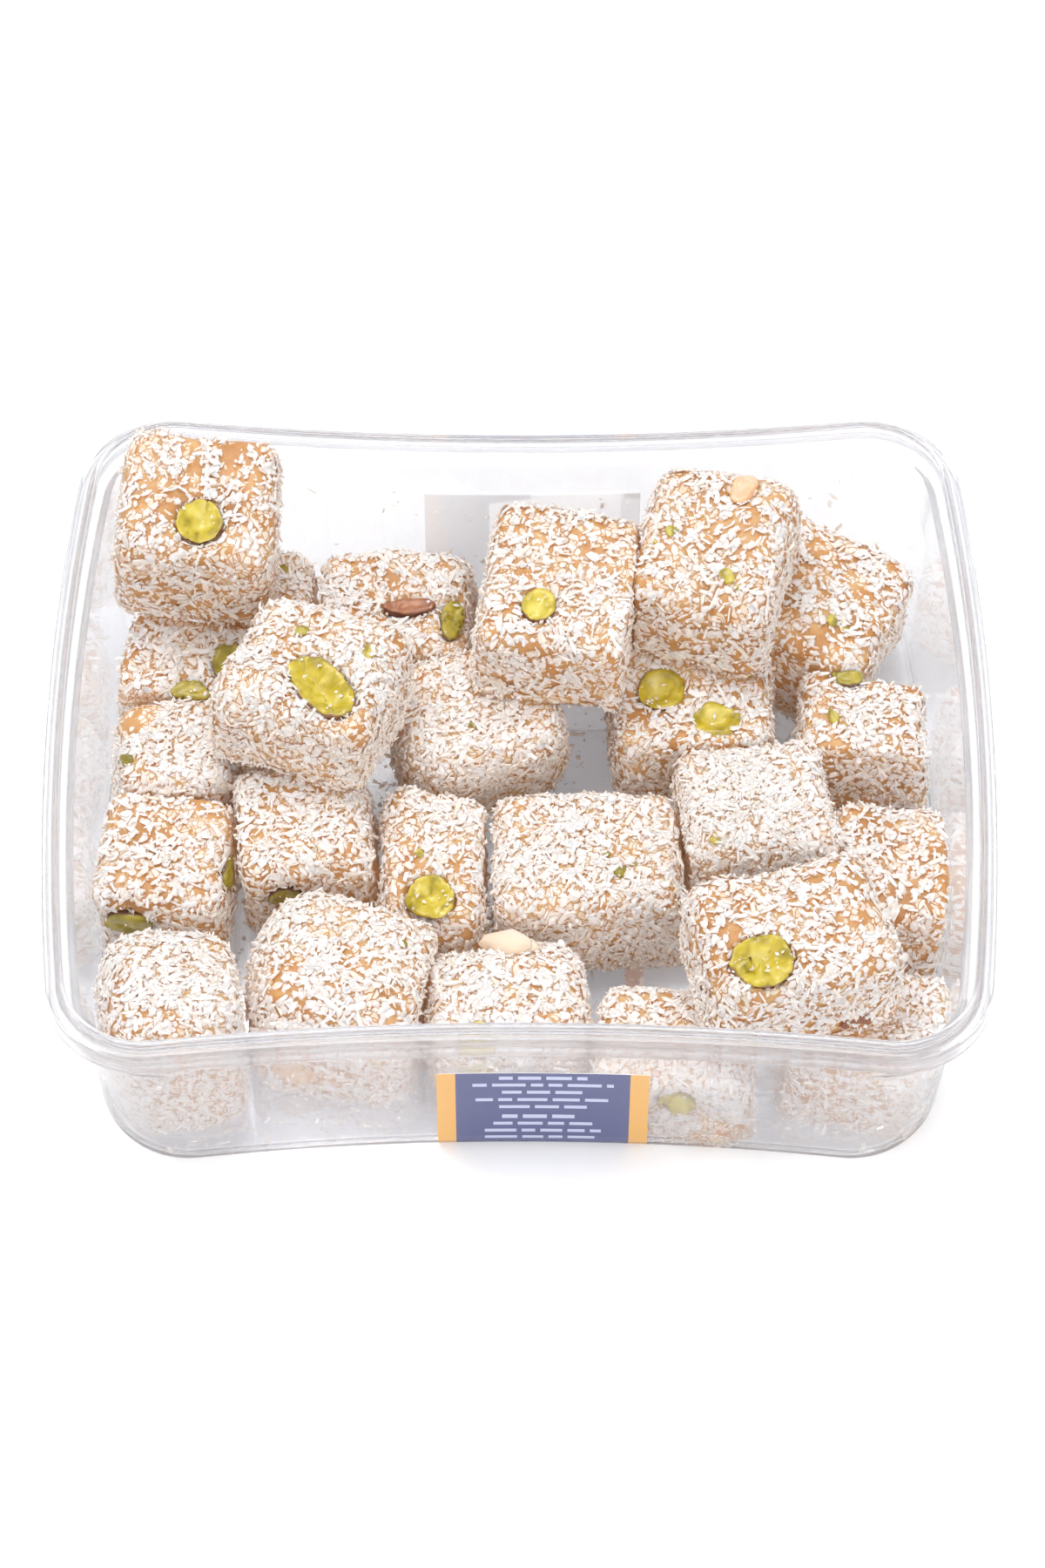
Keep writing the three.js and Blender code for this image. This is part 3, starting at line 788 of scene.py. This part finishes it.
def flakes(name, kind, p, n, room, rng):
    """One kind of coconut, as a single mesh of small closed pieces."""
    pts, tri = SHAPES[kind.shape]
    m, k = len(p), len(pts)
    length, width, thick = (rng.uniform(low, high, m) * MM / 2
                            for low, high in (kind.length, kind.width, kind.thick))
    u, v = frames(n, rng)
    a = np.radians(np.abs(rng.normal(0, kind.tilt, m)).clip(0, 75)) * room
    u2 = u * np.cos(a)[:, None] + n * np.sin(a)[:, None]
    n2 = np.cross(u2, v)
    local = np.repeat(pts[None], m, 0) * (1 + rng.uniform(-0.3, 0.3, (m, k, 3)))
    if kind.shape.startswith("slab"):
        ends = np.abs(pts[:, 0])[None, :, None]
        local[:, :, 1:2] *= 1 - ends * rng.uniform(0.1, 0.75, (m, 1, 1))
        local[:, :, 1:2] += rng.uniform(-0.5, 0.5, (m, 1, 1)) * (1 - ends)
    elif kind.shape == "chip":
        local[:, :6, 2] += rng.uniform(-0.7, 0.7, (m, 6))
        local[:, :6, :2] *= rng.uniform(0.72, 1.12, (m, 6, 1))
    lift = (room * np.sin(a) * length * 0.5 + thick * 0.6 + room * rng.uniform(0.0, 0.34, m) * MM)
    bend = kind.curl * rng.normal(0.3, 0.8, (m, 1)) * (pts[:, 0] ** 2)[None] * length[:, None] * 2
    rise = local[:, :, 2:] * thick[:, None, None] + (bend * room[:, None])[:, :, None]
    co = (p[:, None] + n[:, None] * lift[:, None, None]
          + u2[:, None] * (local[:, :, :1] * length[:, None, None])
          + v[:, None] * (local[:, :, 1:2] * width[:, None, None]) + n2[:, None] * rise)
    co[:, :, 2] = np.maximum(co[:, :, 2], (FLOOR + 0.1) * MM)  # none sink into the tub
    faces = (tri[None] + (np.arange(m) * k)[:, None, None]).reshape(-1, 3)
    me = mesh_from(name, co.reshape(-1, 3), faces, MAT["coconut"], False)
    # Each flake's random soak, plus painted shade: flakes on the sweets' sides are painted creamier
    # than those on the tops.
    side = 1 - np.clip(n[:, 2], 0, 1)
    soak_and_side_shade = np.repeat(np.clip(rng.beta(1.2, 4.2, m) + 0.16 * side ** 1.5, 0, 1), k)
    paint(me, "tint", np.repeat(soak_and_side_shade[:, None], 4, 1))
    add_piece(name, me, "coconut")


def loose_places(count, solid, rng):
    """Places on the tub's floor that no sweet covers, and on the insides of its walls."""
    got = []
    while len(got) < count:
        x, y = rng.uniform(-66, 66), rng.uniform(-56, 54)
        on_panel = abs(x) < PANEL[0] / 2 - 1 and abs(y) < PANEL[1] / 2 - 1
        z = FLOOR + 0.05 + (PANEL[3] if on_panel else 0)
        here = Vector((x, y, z + 0.6)) * MM
        foot, out, _, away = solid.find_nearest(here)
        if away > 0.9 * MM and (here - foot).dot(out) > 0:
            got.append((x * MM, y * MM, z * MM))
    lying = np.array(got)
    # A third as many cling to the insides of the front and back walls.
    k = count // 3
    x, z, side = rng.uniform(-62, 62, k), 4 + 30 * rng.random(k) ** 1.6, rng.choice([-1, 1], k)
    y = long_side(x, inset_at(z, INNER)) - 0.15
    p = np.vstack([lying, np.column_stack([x, y * side, z]) * MM])
    up = np.tile([0.0, 0.0, 1.0], (count, 1))
    facing = np.column_stack([np.zeros(k), -side, np.full(k, 0.06)])
    return p, np.vstack([up, facing]), np.full(count + k, 0.25)


# Small pieces lying in the coats: where (mm), how long (mm), and what they are.
BITS = [
    (26.9, 42.1, 44.9, 2.6, "pistachio"), (36.8, 33.0, 44.0, 3.0, "pistachio"),
    (38.6, 30.2, 43.8, 1.6, "pistachio"), (24.2, 40.3, 44.9, 1.3, "pistachio"),
    (56.5, 37.4, 24.5, 3.0, "pistachio"), (59.0, 36.0, 24.4, 1.8, "pistachio"),
    (56.2, 18.6, 21.4, 2.6, "pistachio"), (58.0, 16.6, 21.4, 1.4, "pistachio"),
    (17.6, -16.5, 22.5, 2.4, "kernel"), (15.2, -13.0, 22.5, 1.6, "kernel"),
    (20.0, -14.6, 22.5, 1.2, "kernel"), (-38.6, 21.0, 43.0, 2.8, "pistachio"),
    (-17.8, -12.6, 22.8, 2.0, "pistachio"), (34.1, -11.6, 24.5, 2.2, "pistachio"),
    (-26.5, 16.5, 43.1, 2.6, "pistachio"), (-20.5, -34.8, 27.0, 1.6, "kernel"),
    (-70.5, 9.8, 20.6, 3.4, "kernel"), (-42.3, 6.5, 43.2, 1.5, "skinned"),
    (57.3, -52.8, 31.2, 3.2, "skinned"), (55.2, -52.8, 29.4, 2.2, "skinned"),
    (59.0, -52.0, 29.0, 1.8, "skinned"), (-8.5, 14.0, 22.6, 1.6, "kernel"),
    (-2.3, -31.4, 21.6, 8.5, "lump"), (1.4, -32.6, 22.4, 5.0, "lump"),
]


def make_bits(cores):
    """Chips of nut, and a lump of coconut paste, pressed into the coats."""
    looks = {"pistachio": ("pistachio_bits", "pistachio", "pistachio_cut"),
             "kernel": ("kernel_bits", "kernel", "pistachio_skin"),
             "skinned": ("skin_bits", "hazelnut", "pale_nut"),
             "lump": ("coconut_lump", "coconut", "coconut")}
    for kind, (name, look, slot) in looks.items():
        units = []
        bm = bmesh.new()
        for order, (x, y, z, size, what) in enumerate(BITS):
            if what != kind:
                continue
            foot, normal, _, _ = cores.find_nearest(Vector((x, y, z)) * MM)
            ball = bmesh.ops.create_icosphere(bm, subdivisions=2, radius=1)["verts"]
            unit = np.array([tuple(v.co) for v in ball])
            bumps = 1 + 0.45 * noise3(unit * MM, 0.9 * MM, order) + 0.2 * noise3(
                unit * MM, 0.35 * MM, order + 5)
            turn = normal.to_track_quat("Z", "Y").to_matrix()
            spin = order * 2.4
            flat = np.array([0.5, 0.36, 0.26]) * size * MM
            shape = unit * bumps[:, None] * flat
            shape = shape @ np.array([[math.cos(spin), math.sin(spin), 0],
                                      [-math.sin(spin), math.cos(spin), 0], [0, 0, 1]])
            world = shape @ np.array(turn).T + np.array(foot + normal * 0.12 * size * MM)
            for v, p in zip(ball, world):
                v.co = Vector(p)
            units.append(unit)
        me = bpy.data.meshes.new(name)
        bm.to_mesh(me)
        bm.free()
        t = np.clip(0.5 + 0.8 * noise3(np.vstack(units) * MM, 0.8 * MM, 3), 0, 1)[:, None]
        if kind == "lump":
            paint(me, "tint", np.repeat(0.7 + 0.6 * t, 4, 1))
        else:
            deep, mid, pale, _ = (np.array(rgb(c)) for c in NUT_LOOK[kind])
            light = pale if kind == "pistachio" else mid
            paint(me, "zone", deep * (1 - t) + light * t)
        me.materials.append(MAT[look])
        shade(me, True)
        add_piece(name, me, slot)


def make_coat(cores, nuts, trees):
    """Every kind of coconut, on the sweets and loose in the tub."""
    for order, (name, kind) in enumerate(KINDS.items()):
        rng = np.random.default_rng(SEED + 100 + order)
        longest = kind.length[1]
        bases = cores + nuts if longest < SMALL else cores
        gather = 0.55 if longest < TUFTED else 1.15
        p, n, room = scatter_on(bases, trees, kind.count, gather, rng)
        q, m, flat = loose_places(kind.loose, trees[0], rng)
        flakes(name, kind, np.vstack([p, q]), np.vstack([n, m]), np.concatenate([room, flat]), rng)


# ---------------------------------------------------------------- camera, light, floor

# The photo's view: the point it looks at, how steeply it looks down, from how far, and its lens.
AIM, TILT, DISTANCE, LENS = (0.5, 19.08, 0), 54, 908.3, 114.08  # mm, degrees, mm, mm
# Each soft lamp: its place, what it points at and its size in metres, and its power in watts.
LAMPS = {"key": ((-0.25, 0.3, 1.2), (0, 0, 0), (0.8, 0.6), 9),
         "fill": ((0.3, -1.0, 0.9), (0, 0, 0.02), (0.9, 0.6), 5.5)}


def make_studio():
    """Camera, table, two soft lamps and a pale surround."""
    cam = bpy.data.cameras.new("camera")
    cam.lens, cam.sensor_width, cam.sensor_fit = LENS, 36.0, "AUTO"
    cam.clip_start, cam.clip_end = 0.05, 20
    o = link("camera", cam)
    tilt = math.radians(TILT)
    aim = Vector(AIM) * MM
    o.location = aim + Vector((0, -math.cos(tilt), math.sin(tilt))) * DISTANCE * MM
    o.rotation_euler = (math.pi / 2 - tilt, 0, 0)
    bpy.context.scene.camera = o

    me = bpy.data.meshes.new("floor")
    s, z = 4.0, -0.05 * MM
    me.from_pydata([(-s, -s, z), (s, -s, z), (s, s, z), (-s, s, z)], [], [(0, 1, 2, 3)])
    me.materials.append(MAT["floor"])
    link("floor", me)

    for name, (place, target, size, power) in LAMPS.items():
        lamp = bpy.data.lights.new(name, "AREA")
        lamp.shape, lamp.size, lamp.size_y, lamp.energy = "RECTANGLE", *size, power
        o = link(name, lamp)
        o.location = place
        o.rotation_euler = (Vector(target) - Vector(place)).to_track_quat("-Z", "Y").to_euler()

    n = Nodes("studio", world=True)
    up = n.add("ShaderNodeSeparateXYZ", {0: n.add("ShaderNodeTexCoord").outputs["Generated"]})
    tone = n.ramp(n.value(up.outputs["Z"], 0.0, 1.0), (0.0, (0.6, 0.6, 0.63, 1)),
                  (0.35, (0.8, 0.8, 0.82, 1)), (1.0, (1.0, 1.0, 1.01, 1)))
    bg = n.add("ShaderNodeBackground", {"Color": tone, "Strength": 0.84})
    bpy.context.scene.world = n.out(bg.outputs[0], "ShaderNodeOutputWorld")
    view = bpy.context.scene.view_settings
    view.view_transform, view.look, view.exposure, view.gamma = "Standard", "None", 0.0, 1.1
    paths = bpy.context.scene.cycles
    paths.max_bounces, paths.diffuse_bounces = 24, 10
    paths.transmission_bounces = paths.transparent_max_bounces = 24


# ---------------------------------------------------------------- build

make_studio()
tub = make_tub()
make_label()
make_print()
cores = [make_core(name, k) for k, name in enumerate(NAMES)]
core_tree = tree_of(cores)
nuts = [make_nut(name, core_tree, k) for k, name in enumerate(NUTS)]
make_bits(core_tree)
make_coat(cores, nuts, (core_tree, tree_of(nuts), tree_of([tub])))
